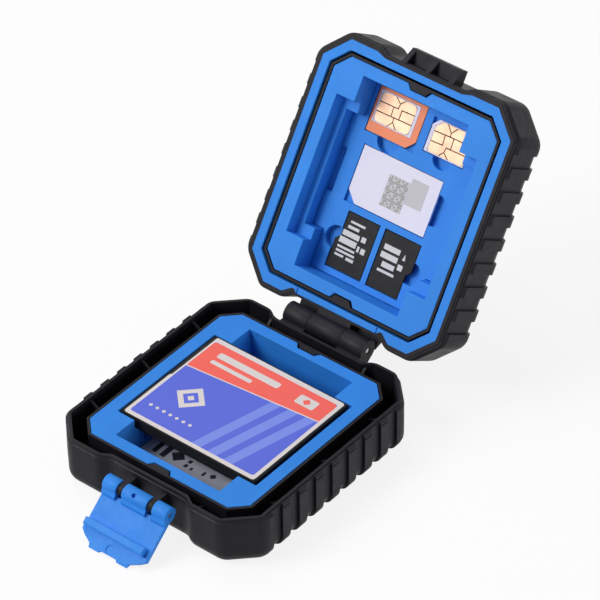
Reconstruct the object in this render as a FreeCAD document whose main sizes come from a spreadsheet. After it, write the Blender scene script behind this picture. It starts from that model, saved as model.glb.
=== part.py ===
# Memory card case: two ribbed black halves on a hinge, a blue latch, blue trays and loose cards
import math
import os

import FreeCAD
import Part
import Sketcher

doc = FreeCAD.newDocument("memory_card_case")
sheet = doc.addObject("Spreadsheet::Sheet", "Dims")

# Driving lengths in millimetres
LENGTHS = (
    # Plan of both halves
    ("corner_cut", 7.65),
    ("corner_radius", 4.6),
    ("front_flat", 12.0),
    ("front_ramp", 2.6),
    ("front_step", 1.6),
    ("back_flat", 14.2),
    ("back_ramp", 2.6),
    ("back_step", 1.9),
    ("ramp_radius", 4.2),
    ("sole_radius", 4.0),
    # Rim, walls and floors
    ("rim_side_inset", 1.0),
    ("rim_end_inset", 0.3),
    ("rim_drop", 0.3),
    ("rim_radius", 3.4),
    ("ledge_bevel", 0.9),
    ("channel_side", 3.75),
    ("channel_end", 3.95),
    ("base_height", 14.6),
    ("base_floor", 1.4),
    ("base_wall", 0.8),
    ("lid_height", 14.0),
    ("lid_floor", 1.3),
    ("lid_wall", 0.55),
    ("lid_gap", 0.3),
    # Grip grooves of the long sides
    ("groove_margin", 4.925),
    ("groove_width", 3.5),
    ("groove_depth", 0.7),
    # Thin wall around each tray
    ("tray_side_wall", 3.5),
    ("tray_end_wall", 3.25),
    ("tray_cut", 3.9),
    ("tray_play", 0.15),
    ("frame_wall", 0.65),
    ("base_frame_drop", 0.7),
    ("lid_frame_drop", 0.2),
    ("tab_root", 3.3),
    ("tab_tip", 2.2),
    ("tab_depth", 1.35),
    ("rib_wall", 0.7),
    ("rib_drop", 0.9),
    ("rib_fall", 2.6),
    ("rib_bite", 0.3),
    ("front_rib_inset", 0.2),
    ("back_rib_inset", 1.1),
    ("side_rib_spread", 19.5),
    ("end_rib_spread", 15.2),
    # Trays and their stepped pockets
    ("base_tray_drop", 0.6),
    ("lid_tray_drop", 0.4),
    ("tray_floor", 0.9),
    ("large_room_side", 0.7),
    ("large_room_end", 0.5),
    ("large_room_top", 0.3),
    ("middle_ledge_side", 2.1),
    ("middle_ledge_end", 3.1),
    ("middle_depth", 8.6),
    ("medium_room", 0.5),
    ("core_wall", 1.2),
    ("core_width", 3.0),
    ("core_roof", 1.5),
    # Seal of the lid
    ("seal_seat", 2.6),
    ("seal_shelf", 1.0),
    ("seal_play", 0.05),
    ("seal_rise", 0.2),
    ("seal_room", 0.6),
    ("seal_seam", 0.25),
    ("seal_seam_depth", 0.3),
    ("seal_seam_spread", 12.7),
    # Hinge
    ("hinge_reach", 2.0),
    ("barrel_radius", 2.9),
    ("barrel_half", 12.6),
    ("barrel_mid_half", 5.15),
    ("barrel_play", 0.12),
    ("barrel_arm", 7.0),
    ("arm_root", 0.5),
    ("arm_reach", 2.05),
    ("shelf_play", 0.4),
    ("shelf_inset", 0.3),
    ("hinge_pin_radius", 0.8),
    ("hinge_pin_inset", 0.25),
    ("pin_snug", 0.01),
    ("pin_run", 0.06),
    # Latch lugs of the base
    ("latch_reach", 2.7),
    ("latch_across", 0.8),
    ("latch_drop", 3.5),
    ("lug_radius", 1.7),
    ("lug_inner", 3.97),
    ("lug_wall", 1.66),
    ("lug_play", 0.12),
    ("lug_foot", 4.6),
    ("latch_pin_radius", 0.75),
    ("latch_pin_inset", 0.3),
    # Latch lever, closed, measured from its pivot
    ("lever_half_width", 10.0),
    ("lever_outer", 1.6),
    ("lever_inner", 0.3),
    ("lever_start", 1.2),
    ("knuckle_radius", 2.1),
    ("knuckle_rise", 1.5),
    ("knuckle_toe", 3.4),
    ("knuckle_step", 0.5),
    ("slot_radius", 2.3),
    ("hook_play", 0.1),
    ("hook_in", 1.6),
    ("hook_top", 1.6),
    ("hook_slope", 0.5),
    ("hook_half_width", 9.2),
    ("hook_across", -0.5),
    ("head_in", 0.2),
    ("tip_rise", 6.4),
    ("tip_in", 0.1),
    ("tip_out", 0.6),
    ("bend_rise", 3.0),
    ("shoulder_rise", 2.9),
    ("cheek_side", 8.7),
    ("cheek_rise", 4.0),
    ("prong_root_side", 6.3),
    ("prong_root_rise", 5.3),
    ("prong_outer", 5.9),
    ("prong_inner", 3.0),
    ("tip_notch_half", 2.5),
    ("tip_notch_depth", 0.55),
    ("knuckle_hole_side", -0.4),
    ("knuckle_hole_radius", 0.6),
    ("knuckle_hole_depth", 0.9),
    ("tip_mark_radius", 1.4),
    ("tip_mark_depth", 0.2),
    ("tip_mark_rise", 4.5),
    # Catch of the lid
    ("catch_half_width", 8.0),
    ("catch_short", 0.55),
    ("catch_low", 4.0),
    ("catch_high", 6.2),
    ("catch_root", 0.4),
    ("gusset_wall", 1.4),
    ("gusset_low", 0.9),
    ("gusset_inset", 0.3),
    # Large card
    ("large_width", 42.8),
    ("large_length", 36.4),
    ("large_height", 3.3),
    ("large_across", -0.5),
    ("large_up", 0.35),
    ("large_border", 0.2),
    ("plate_height", 0.4),
    ("plate_play", 0.05),
    ("large_wall", 3.4),
    ("rail_height", 1.0),
    ("rail_depth", 0.9),
    ("connector_half_width", 19.6),
    ("connector_height", 2.0),
    ("socket_pitch", 1.27),
    ("socket_size", 0.6),
    ("socket_row", 0.5),
    ("socket_depth", 2.6),
    ("board_height", 0.9),
    ("board_play", 0.2),
    # Medium card
    ("medium_length", 32.0),
    ("medium_width", 24.0),
    ("medium_height", 2.1),
    ("medium_cut", 4.0),
    ("medium_gap", 0.3),
    ("lock_from", 6.0),
    ("lock_slot", 4.8),
    ("lock_length", 2.7),
    ("lock_depth", 1.2),
    ("lock_low", 0.7),
    ("lock_height", 0.7),
    ("lock_play", 0.06),
    # Card insert of the lid
    ("insert_play", 0.2),
    ("insert_edge", 1.2),
    ("insert_wing", 1.2),
    ("insert_foot", 0.1),
    ("insert_notch_half", 6.0),
    ("insert_notch_depth", 1.9),
    ("pocket_play", 0.25),
    ("finger_depth", 1.9),
    # Small cards
    ("sim_height", 0.8),
    ("sim_sink", 0.1),
    ("sim_edge", 1.275),
    ("sim_gap", 2.75),
    ("sim_row_gap", 3.6),
    ("standard_width", 25.0),
    ("standard_length", 15.0),
    ("standard_cut", 3.0),
    ("standard_across", -1.1),
    ("standard_up", 1.2),
    ("standard_finger", 4.2),
    ("micro_width", 15.0),
    ("micro_length", 12.0),
    ("micro_cut", 2.4),
    ("micro_finger", 3.4),
    ("nano_width", 12.3),
    ("nano_length", 8.8),
    ("nano_cut", 1.7),
    ("nano_finger", 2.9),
    ("chip_height", 0.25),
    ("chip_play", 0.04),
    ("standard_chip_width", 11.8),
    ("standard_chip_length", 10.6),
    ("standard_chip_across", 4.0),
    ("module_width", 12.4),
    ("module_length", 8.5),
    ("module_across", -0.7),
    ("module_up", 0.95),
    ("module_sink", 0.45),
    ("micro_chip_width", 11.0),
    ("micro_chip_length", 7.9),
    ("micro_chip_across", -0.2),
    ("nano_chip_width", 11.0),
    ("nano_chip_length", 8.2),
    ("nano_chip_across", 0.4),
    ("flash_width", 11.0),
    ("flash_length", 15.0),
    ("flash_height", 1.0),
    ("flash_step", 1.3),
    ("flash_neck", 6.4),
    ("flash_slope", 1.3),
    ("flash_gap", 2.1),
    ("flash_across", -0.3),
    ("flash_row_gap", 2.25),
    ("flash_finger", 3.0),
)

# Driving angles in degrees
ANGLES = (
    ("lid_open_angle", 123.5),
    ("latch_open_angle", 130.5),
)

# Numbers of repeats
COUNTS = (
    ("groove_count", 8),
    ("socket_count", 25),
)

# A cut corner shrinks by this share of an inset
CORNER_SHARE = 2 - math.sqrt(2)
# A corner hollow keeps this share of the tray's cut corner as its wall
CORE_SHARE = 2 / 3
# Steps in degrees by which a groove turns round the sole
GROOVE_ANGLES = (0, 30, 60)
PARTS = "parts"


class Size:
    """A size together with the sheet formula that drives it."""

    def __init__(self, value, text):
        self.value = value
        self.text = text

    def __add__(self, other):
        return Size(self.value + other.value, "(%s + %s)" % (self.text, other.text))

    def __sub__(self, other):
        return Size(self.value - other.value, "(%s - %s)" % (self.text, other.text))

    def __neg__(self):
        return Size(-self.value, "(-1 * %s)" % self.text)

    def __mul__(self, factor):
        return Size(self.value * factor, "(%s * %r)" % (self.text, factor))

    def __truediv__(self, factor):
        return Size(self.value / factor, "(%s / %r)" % (self.text, factor))


class Names:
    """Every sheet cell as a Size under its own name."""


d = Names()
cells = []


def put(alias, content, value):
    """Write one named cell of the sheet and offer it as a Size."""
    cells.append(alias)
    row = len(cells)
    sheet.set("A%d" % row, alias)
    sheet.set("B%d" % row, content)
    sheet.setAlias("B%d" % row, alias)
    setattr(d, alias, Size(value, "Dims.%s" % alias))


def derive(alias, size):
    """A size that follows from others, kept in the sheet as a formula."""
    put(alias, "=" + size.text.replace("Dims.", ""), size.value)


for word, amount in LENGTHS + ANGLES + COUNTS:
    put(word, repr(amount), amount)
doc.recompute()

# Tray pockets follow from the cards they hold
derive("upper_half_width", d.large_width / 2 + d.large_room_side)
derive("upper_half_length", d.large_length / 2 + d.large_room_end)
derive("upper_depth", d.large_height + d.large_room_top)
derive("middle_half_width", d.upper_half_width - d.middle_ledge_side)
derive("middle_half_length", d.upper_half_length - d.middle_ledge_end)
derive("base_deep_half_width", d.medium_length / 2 + d.medium_room)

# Places of the small cards on their plate, and the plate's size
derive("insert_half_width", (d.micro_width + d.nano_width + d.sim_gap) / 2 + d.sim_edge)
derive("micro_across", d.sim_edge + d.micro_width / 2 - d.insert_half_width)
derive("nano_across", d.insert_half_width - d.sim_edge - d.nano_width / 2)
derive("micro_up", d.standard_up + d.standard_length / 2 + d.sim_row_gap + d.micro_length / 2)
derive("flash_up", d.standard_length / 2 - d.standard_up + d.flash_row_gap + d.flash_length / 2)
derive("flash_spread", (d.flash_width + d.flash_gap) / 2)
derive("insert_half_length", d.micro_up + d.micro_length / 2 + d.insert_edge)
derive("lid_deep_half_width", d.insert_half_width + d.insert_play)
derive("deep_half_length", d.insert_half_length + d.insert_play)

# Trays, the walls around them and the case halves
derive("tray_half_width", d.upper_half_width + d.tray_side_wall)
derive("tray_half_length", d.deep_half_length + d.tray_end_wall)
derive("frame_half_width", d.tray_half_width + d.tray_play + d.frame_wall)
derive("frame_half_length", d.tray_half_length + d.tray_play + d.frame_wall)
derive("frame_cut", d.tray_cut + (d.tray_play + d.frame_wall) * CORNER_SHARE)
derive("seal_half_width", d.frame_half_width + d.seal_room)
derive("seal_half_length", d.frame_half_length + d.seal_room)
derive("seal_cut", d.frame_cut + d.seal_room * CORNER_SHARE)
derive("rim_half_width", d.frame_half_width + d.channel_side + d.base_wall)
derive("rim_half_length", d.frame_half_length + d.channel_end + d.base_wall)
derive("hull_half_width", d.rim_half_width + d.rim_side_inset)
derive("hull_half_length", d.rim_half_length + d.rim_end_inset)
derive("base_tray_height", d.base_height - d.base_floor - d.base_tray_drop)
derive("lid_tray_height", d.lid_height - d.lid_floor - d.lid_tray_drop)
groove_run = d.hull_half_length - d.corner_cut - d.groove_margin
derive("groove_pitch", groove_run * 2 / (d.groove_count.value - 1))

# Hinge, latch and catch around the case halves
derive("hinge_back", d.hull_half_length + d.hinge_reach)
derive("latch_front", d.hull_half_length + d.latch_reach)
derive("catch_reach", d.latch_front - d.catch_short)
derive("hook_up", d.latch_drop + d.catch_high + d.hook_play)
derive("hook_end_up", d.hook_up + d.hook_top + d.hook_slope)
derive("tip_up", d.hook_up + d.tip_rise)
doc.recompute()

ZERO = Size(0.0, "0")
nodes = []


def new_body(name):
    """An empty body that becomes one piece of the case."""
    body = doc.addObject("PartDesign::Body", name)
    body.Label = name
    nodes.append(body)
    return body


def origin_plane(body, role):
    """One of the body's own origin planes."""
    return [item for item in body.Origin.OriginFeatures if item.Role == role][0]


def tie(item, kind, edge, point, size):
    """Hold one sketch point at a sheet formula from the origin."""
    index = item.addConstraint(Sketcher.Constraint(kind, -1, 1, edge, point, size.value))
    item.setExpression("Constraints[%d]" % index, size.text)


def add_loop(item, corners):
    """A closed run of straight edges, each corner held by two formulas."""
    first = item.GeometryCount
    count = len(corners)
    spots = [FreeCAD.Vector(x.value, y.value, 0) for x, y in corners]
    for step in range(count):
        item.addGeometry(Part.LineSegment(spots[step], spots[(step + 1) % count]))
    for step in range(count):
        following = first + (step + 1) % count
        item.addConstraint(Sketcher.Constraint("Coincident", first + step, 2, following, 1))
    for step, (x, y) in enumerate(corners):
        tie(item, "DistanceX", first + step, 1, x)
        tie(item, "DistanceY", first + step, 1, y)


def add_circle(item, x, y, radius):
    """A circle with its centre and radius held by formulas."""
    centre = FreeCAD.Vector(x.value, y.value, 0)
    edge = item.addGeometry(Part.Circle(centre, FreeCAD.Vector(0, 0, 1), radius.value))
    tie(item, "DistanceX", edge, 3, x)
    tie(item, "DistanceY", edge, 3, y)
    index = item.addConstraint(Sketcher.Constraint("Radius", edge, radius.value))
    item.setExpression("Constraints[%d]" % index, radius.text)


def draw(body, name, role, offset, loops=(), circles=()):
    """A sketch on an origin plane of the body, moved along that plane's normal."""
    item = body.newObject("Sketcher::SketchObject", name)
    item.AttachmentSupport = [(origin_plane(body, role), "")]
    item.MapMode = "FlatFace"
    item.setExpression("AttachmentOffset.Base.z", offset.text)
    for corners in loops:
        add_loop(item, corners)
    for x, y, radius in circles:
        add_circle(item, x, y, radius)
    return item


def finish_feature(body, item):
    """Make the feature the end of the body and bring it up to date."""
    body.Tip = item
    doc.recompute()
    return item


def pad(body, name, profile, length):
    """Material from a sketch along its normal."""
    item = body.newObject("PartDesign::Pad", name)
    item.Profile = profile
    item.setExpression("Length", length.text)
    return finish_feature(body, item)


def pocket(body, name, profile, length, along=False):
    """A cut from a sketch against its normal, or along it."""
    item = body.newObject("PartDesign::Pocket", name)
    item.Profile = profile
    item.Reversed = along
    item.setExpression("Length", length.text)
    return finish_feature(body, item)


def repeat(body, name, feature, profile, axis, length, count):
    """The feature repeated at even steps along a sketch axis."""
    item = body.newObject("PartDesign::LinearPattern", name)
    item.Originals = [feature]
    item.Direction = (profile, [axis])
    item.setExpression("Length", length.text)
    item.setExpression("Occurrences", count.text)
    return finish_feature(body, item)


def round_edges(body, name, chosen, radius):
    """Round the edges of the body's last feature that a test picks."""
    last = body.Tip
    edges = enumerate(last.Shape.Edges, start=1)
    item = body.newObject("PartDesign::Fillet", name)
    item.Base = (last, ["Edge%d" % index for index, edge in edges if chosen(edge)])
    item.setExpression("Radius", radius.text)
    return finish_feature(body, item)


def bevel_edges(body, name, chosen, width):
    """Bevel the edges of the body's last feature that a test picks."""
    last = body.Tip
    edges = enumerate(last.Shape.Edges, start=1)
    item = body.newObject("PartDesign::Chamfer", name)
    item.Base = (last, ["Edge%d" % index for index, edge in edges if chosen(edge)])
    item.setExpression("Size", width.text)
    return finish_feature(body, item)


def upright(corners, low, high):
    """A test for upright edges at given plan corners within a height band."""
    slack = d.tray_play.value / 10
    spots = [(x.value, y.value) for x, y in corners]

    def chosen(edge):
        box = edge.BoundBox
        if box.ZLength < slack or box.XLength > slack or box.YLength > slack:
            return False
        if box.ZMin < low.value - slack or box.ZMax > high.value + slack:
            return False
        return any(math.hypot(box.XMin - x, box.YMin - y) < slack for x, y in spots)

    return chosen


def at_height(height):
    """A test for edges that lie flat at one height."""
    slack = d.tray_play.value / 10

    def chosen(edge):
        box = edge.BoundBox
        return box.ZLength < slack and abs(box.ZMin - height.value) < slack

    return chosen


def both_sides(right):
    """Close a right-hand run of corners with its mirror image."""
    return right + [(-x, y) for x, y in reversed(right)]


def turned(corners, side):
    """The corners as they are, or with the two ends swapped."""
    return [(x, y * side) for x, y in corners]


def box_loop(x, y, half_width, half_length):
    """A rectangle around a centre."""
    left, right = x - half_width, x + half_width
    low, high = y - half_length, y + half_length
    return [(left, low), (right, low), (right, high), (left, high)]


def hull_corners(insets):
    """Right-hand plan corners of a case half: main corners, then the front and back ramps."""
    side_inset, end_inset = insets
    wide = d.hull_half_width - side_inset
    far = d.hull_half_length - end_inset
    cut = d.corner_cut - (side_inset + end_inset) / 2 * CORNER_SHARE
    main = [(wide - cut, -far), (wide, cut - far), (wide, far - cut), (wide - cut, far)]
    front = [(d.front_flat, d.front_step - far), (d.front_flat + d.front_ramp, -far)]
    back = [(d.back_flat + d.back_ramp, far), (d.back_flat, far - d.back_step)]
    return main, front, back


def rim_insets(wall):
    """Side and end insets of a plan that lies a wall's thickness inside the rim."""
    return d.rim_side_inset + wall, d.rim_end_inset + wall


def hull_plan(insets, side):
    """The plan of a case half moved in by its insets, with latch and hinge steps."""
    main, front, back = hull_corners(insets)
    return turned(both_sides(front + main + back), side)


def octagon(half_width, half_length, cut):
    """A rectangle with its four corners cut off."""
    right = [
        (half_width - cut, -half_length),
        (half_width, cut - half_length),
        (half_width, half_length - cut),
        (half_width - cut, half_length),
    ]
    return both_sides(right)


def tabbed_octagon(half_width, half_length, cut, root, tip, depth):
    """A cut-cornered rectangle with a sloping tab reaching in at both ends."""
    right = [
        (tip, depth - half_length),
        (root, -half_length),
        (half_width - cut, -half_length),
        (half_width, cut - half_length),
        (half_width, half_length - cut),
        (half_width - cut, half_length),
        (root, half_length),
        (tip, half_length - depth),
    ]
    return both_sides(right)


def round_plan(body, name, insets, side, low, high, corner, ramp):
    """Round the upright corners of a hull plan."""
    main, front, back = hull_corners(insets)
    corners = turned(both_sides(main), side)
    round_edges(body, name + "_corners", upright(corners, low, high), corner)
    ramps = turned(both_sides(front + back), side)
    round_edges(body, name + "_ramps", upright(ramps, low, high), ramp)


def half_shell(name, height, floor, wall, frame_drop, side, shelf):
    """One black half: grooved hull, thin rim, cavity and the wall that holds its tray."""
    body = new_body(name)
    hull_top = height - d.rim_drop
    outline = (ZERO, ZERO)
    profile = draw(body, name + "_hull_plan", "XY_Plane", ZERO, [hull_plan(outline, side)])
    pad(body, name + "_hull", profile, hull_top)
    round_plan(body, name + "_hull", outline, side, ZERO, hull_top, d.corner_radius, d.ramp_radius)
    round_edges(body, name + "_sole", at_height(ZERO), d.sole_radius)
    bevel_edges(body, name + "_ledge", at_height(hull_top), d.ledge_bevel)

    rim = rim_insets(ZERO)
    rim_low = hull_top - d.ledge_bevel
    profile = draw(body, name + "_rim_plan", "XY_Plane", rim_low, [hull_plan(rim, side)])
    pad(body, name + "_rim", profile, height - rim_low)
    round_plan(body, name + "_rim", rim, side, rim_low, height, d.rim_radius, d.ramp_radius)

    if shelf:
        plan = hull_plan(rim_insets(wall), side)
        profile = draw(body, name + "_seat_plan", "XY_Plane", height, [plan])
        pocket(body, name + "_seat", profile, d.seal_seat)
        wall = wall + d.seal_shelf
    plan = hull_plan(rim_insets(wall), side)
    profile = draw(body, name + "_cavity_plan", "XY_Plane", height, [plan])
    pocket(body, name + "_cavity", profile, height - floor)

    inner = d.tray_half_width + d.tray_play
    inner_far = d.tray_half_length + d.tray_play
    cut = d.tray_cut + d.tray_play * CORNER_SHARE
    loops = [
        octagon(d.frame_half_width, d.frame_half_length, d.frame_cut),
        tabbed_octagon(inner, inner_far, cut, d.tab_root, d.tab_tip, d.tab_depth),
    ]
    profile = draw(body, name + "_frame_plan", "XY_Plane", floor, loops)
    pad(body, name + "_frame", profile, height - frame_drop - floor)

    span = d.groove_pitch * (d.groove_count.value - 1)
    start = d.groove_width / 2 - span / 2
    profile = draw(body, name + "_groove_face", "XZ_Plane", start, groove_loops(hull_top))
    groove = pocket(body, name + "_groove", profile, d.groove_width)
    repeat(body, name + "_grooves", groove, profile, "N_Axis", span, d.groove_count)
    return body


def groove_loops(top):
    """End view of a grip groove on each side: straight down, then round the sole."""
    middle = d.hull_half_width - d.sole_radius
    radius = d.sole_radius - d.groove_depth
    outer = d.hull_half_width + d.groove_depth
    face = [(middle + radius, top)]
    for angle in GROOVE_ANGLES:
        across = radius * math.cos(math.radians(angle))
        down = radius * math.sin(math.radians(angle))
        face.append((middle + across, d.sole_radius - down))
    face.append((face[-1][0] - d.groove_depth, -d.groove_depth))
    face.append((outer, -d.groove_depth))
    face.append((outer, top))
    return [face, [(-x, z) for x, z in face]]


def cross_ribs(body, floor, top):
    """Thin ribs that slope down from the outer wall to the wall around the tray."""
    high = top - d.rib_drop
    low = high - d.rib_fall
    near = d.frame_half_width - d.rib_bite
    far = d.rim_half_width - d.base_wall + d.rib_bite
    face = [(near, floor), (far, floor), (far, high), (near, low)]
    loops = [face, [(-x, z) for x, z in face]]
    for tag, y in (("front", -d.side_rib_spread), ("mid", ZERO), ("back", d.side_rib_spread)):
        name = "side_rib_" + tag
        profile = draw(body, name + "_face", "XZ_Plane", -y - d.rib_wall / 2, loops)
        pad(body, name, profile, d.rib_wall)
    near = d.frame_half_length - d.rib_bite
    far = d.rim_half_length - d.base_wall + d.rib_bite
    front = d.front_rib_inset - far
    back = far - d.back_rib_inset
    loops = [
        [(-near, floor), (front, floor), (front, high), (-near, low)],
        [(near, floor), (back, floor), (back, high), (near, low)],
    ]
    for tag, x in (("left", -d.end_rib_spread), ("right", d.end_rib_spread)):
        name = "end_rib_" + tag
        profile = draw(body, name + "_face", "YZ_Plane", x - d.rib_wall / 2, loops)
        pad(body, name, profile, d.rib_wall)


def knuckle(body, name, start, length, y, z, radius, arm, hole):
    """A round knuckle on an arm, padded along the hinge line, with its pin hole."""
    profile = draw(body, name + "_arm_side", "YZ_Plane", start, [arm])
    pad(body, name + "_arm", profile, length)
    profile = draw(body, name + "_round_side", "YZ_Plane", start, circles=[(y, z, radius)])
    pad(body, name + "_round", profile, length)
    profile = draw(body, name + "_hole_side", "YZ_Plane", start + length, circles=[(y, z, hole)])
    pocket(body, name + "_hole", profile, length)


def barrel_arm(y_sign, axis_height):
    """Side view of the arm between a case wall and its hinge knuckle."""
    root = d.hull_half_length - d.back_step - d.arm_root
    top = axis_height - d.rim_drop
    corners = [
        (root, axis_height - d.barrel_arm),
        (root, top),
        (d.hinge_back, axis_height - d.lid_gap),
        (d.hinge_back + d.arm_reach, axis_height - d.arm_reach),
    ]
    return [(y * y_sign, z) for y, z in corners]


def barrel_shelf(y_sign, axis_height):
    """Side view of the shelf under the other half's hinge knuckle."""
    root = d.hull_half_length - d.back_step - d.arm_root
    top = axis_height - d.barrel_radius - d.shelf_play
    corners = [
        (root, axis_height - d.barrel_arm),
        (root, top),
        (d.hinge_back - d.shelf_inset, top),
    ]
    return [(y * y_sign, z) for y, z in corners]


def base_shell():
    """Lower half with cross ribs, two hinge knuckles and two latch lugs."""
    name = "base_shell"
    top = d.base_height
    body = half_shell(name, top, d.base_floor, d.base_wall, d.base_frame_drop, 1, False)
    cross_ribs(body, d.base_floor, top)

    start = d.barrel_mid_half + d.barrel_play
    length = d.barrel_half - start
    arm = barrel_arm(1, top)
    hole = d.hinge_pin_radius + d.pin_snug
    for tag, left in (("right", start), ("left", -d.barrel_half)):
        knuckle(body, "hinge_" + tag, left, length, d.hinge_back, top, d.barrel_radius, arm, hole)
    half = d.barrel_mid_half - d.barrel_play
    profile = draw(body, "hinge_shelf_side", "YZ_Plane", -half, [barrel_shelf(1, top)])
    pad(body, "hinge_shelf", profile, half * 2)

    pivot = top - d.latch_drop
    wall = d.front_step - d.hull_half_length + d.arm_root
    arm = [
        (wall, pivot + d.lug_radius),
        (-d.latch_front, pivot + d.lug_radius),
        (-d.latch_front, pivot - d.lug_radius),
        (wall, pivot - d.lug_foot),
    ]
    hole = d.latch_pin_radius + d.pin_snug
    right_lug = d.latch_across + d.lug_inner
    left_lug = d.latch_across - d.lug_inner - d.lug_wall
    for tag, left in (("right", right_lug), ("left", left_lug)):
        knuckle(body, "lug_" + tag, left, d.lug_wall, -d.latch_front, pivot, d.lug_radius, arm, hole)
    return body


def lid_shell():
    """Upper half, drawn with its opening upwards, with hinge knuckle and catch."""
    name = "lid_shell"
    body = half_shell(name, d.lid_height, d.lid_floor, d.lid_wall, d.lid_frame_drop, -1, True)
    parting = d.lid_height + d.lid_gap
    length = d.barrel_mid_half * 2
    hole = d.hinge_pin_radius + d.pin_run
    arm = barrel_arm(-1, parting)
    left = -d.barrel_mid_half
    knuckle(body, "hinge_mid", left, length, -d.hinge_back, parting, d.barrel_radius, arm, hole)
    start = d.barrel_mid_half + d.barrel_play
    for tag, left in (("right", start), ("left", -d.barrel_half)):
        shelf = barrel_shelf(-1, parting)
        profile = draw(body, "hinge_shelf_side_" + tag, "YZ_Plane", left, [shelf])
        pad(body, "hinge_shelf_" + tag, profile, d.barrel_half - start)

    root = d.hull_half_length - d.front_step - d.catch_root
    low = parting - d.catch_low
    high = parting - d.catch_high
    ledge = [(root, low), (d.catch_reach, low), (d.catch_reach, high), (root, high)]
    profile = draw(body, "catch_side", "YZ_Plane", -d.catch_half_width, [ledge])
    pad(body, "catch", profile, d.catch_half_width * 2)
    gusset = [(root, low), (d.catch_reach - d.gusset_inset, low), (root, parting - d.gusset_low)]
    for tag, left in (
        ("left", -d.catch_half_width),
        ("mid", -d.gusset_wall / 2),
        ("right", d.catch_half_width - d.gusset_wall),
    ):
        profile = draw(body, "gusset_side_" + tag, "YZ_Plane", left, [gusset])
        pad(body, "gusset_" + tag, profile, d.gusset_wall)
    return body


def lid_seal():
    """Flat gasket band that lies in the lid's channel."""
    body = new_body("lid_seal")
    low = d.lid_height - d.seal_seat
    high = d.lid_height + d.seal_rise
    loops = [
        hull_plan(rim_insets(d.lid_wall + d.seal_play), -1),
        octagon(d.seal_half_width, d.seal_half_length, d.seal_cut),
    ]
    profile = draw(body, "seal_plan", "XY_Plane", low, loops)
    pad(body, "seal_band", profile, high - low)
    far = d.hull_half_length
    middle = -(far + d.seal_half_length) / 2
    loops = []
    for x in (-d.seal_seam_spread, d.seal_seam_spread):
        loops.append(box_loop(x, middle, d.seal_seam / 2, (far - d.seal_half_length) / 2))
    profile = draw(body, "seam_plan", "XY_Plane", high, loops)
    pocket(body, "seams", profile, d.seal_seam_depth)
    return body


def tray(name, floor, height, deep_half_width):
    """Blue block with three stepped pockets and two end notches."""
    body = new_body(name)
    top = floor + height
    notch_depth = d.tab_depth + d.tray_play
    plan = tabbed_octagon(
        d.tray_half_width,
        d.tray_half_length,
        d.tray_cut,
        d.tab_root + d.tray_play * 2,
        d.tab_tip + d.tray_play * 2,
        notch_depth,
    )
    profile = draw(body, name + "_plan", "XY_Plane", floor, [plan])
    pad(body, name + "_block", profile, height)
    for tag, half_width, half_length, depth in (
        ("upper", d.upper_half_width, d.upper_half_length, d.upper_depth),
        ("middle", d.middle_half_width, d.middle_half_length, d.middle_depth),
        ("deep", deep_half_width, d.deep_half_length, height - d.tray_floor),
    ):
        loop = box_loop(ZERO, ZERO, half_width, half_length)
        profile = draw(body, "%s_%s_plan" % (name, tag), "XY_Plane", top, [loop])
        pocket(body, "%s_%s" % (name, tag), profile, depth)
    return body


def core_out(body, low, height):
    """Hollows from below under the thick sides and corners of the lid's tray."""
    half = d.core_width / 2
    x = d.tray_half_width - d.core_wall - half
    loops = [box_loop(side, ZERO, half, d.upper_half_length - d.core_wall) for side in (x, -x)]
    profile = draw(body, "core_sides_plan", "XY_Plane", low, loops)
    pocket(body, "core_sides", profile, height - d.upper_depth - d.core_roof, True)
    near = d.lid_deep_half_width + d.core_wall
    far = d.tray_half_width - d.tray_cut * CORE_SHARE
    low_y = d.upper_half_length + d.core_wall
    high_y = d.tray_half_length - d.tray_cut * CORE_SHARE
    right = [(near, low_y), (far, low_y), (far, high_y), (near, high_y)]
    loops = []
    for across in (1, -1):
        for up in (1, -1):
            loops.append([(x * across, y * up) for x, y in right])
    profile = draw(body, "core_corners_plan", "XY_Plane", low, loops)
    pocket(body, "core_corners", profile, height - d.core_roof, True)


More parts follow.
